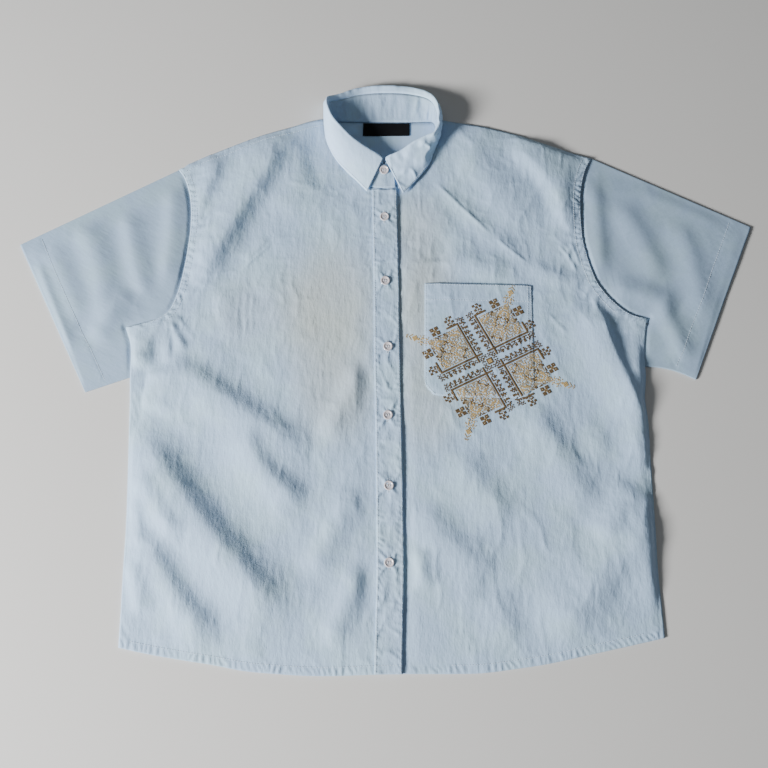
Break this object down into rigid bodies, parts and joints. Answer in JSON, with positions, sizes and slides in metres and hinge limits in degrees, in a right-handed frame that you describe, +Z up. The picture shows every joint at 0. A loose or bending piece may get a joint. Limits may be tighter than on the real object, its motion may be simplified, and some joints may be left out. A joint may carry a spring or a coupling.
{
  "type": "short-sleeve shirt",
  "caption": "Light-blue cotton short-sleeve shirt laid flat on its back, buttoned, with a turned-down collar, a chest pocket and a cross-stitch ornament.",
  "frame": {"origin": "middle of the bounding box's underside, on the surface that the shirt lies on", "axes": "+Z up from that surface, +Y from the hem to the neck, +X to the wearer's left sleeve"},
  "size_m": [0.912, 0.7282, 0.0315],
  "materials": {
    "cotton_blue": "matt plain-weave cotton, light blue",
    "label_black": "matt black woven tape, left bare",
    "pearl_button": "pearly polyester, slightly pink"
  },
  "bodies": {
    "root": {"back_panel": "cotton_blue", "front_right": "cotton_blue", "front_left": "cotton_blue", "placket": "cotton_blue", "sleeve_right": "cotton_blue", "sleeve_left": "cotton_blue", "collar_stand": "cotton_blue", "collar_fall": "cotton_blue", "chest_pocket": "cotton_blue", "neck_label": "label_black", "button_collar": "pearl_button", "button_1": "pearl_button", "button_2": "pearl_button", "button_3": "pearl_button", "button_4": "pearl_button", "button_5": "pearl_button", "button_6": "pearl_button"}
  },
  "joints": []
}
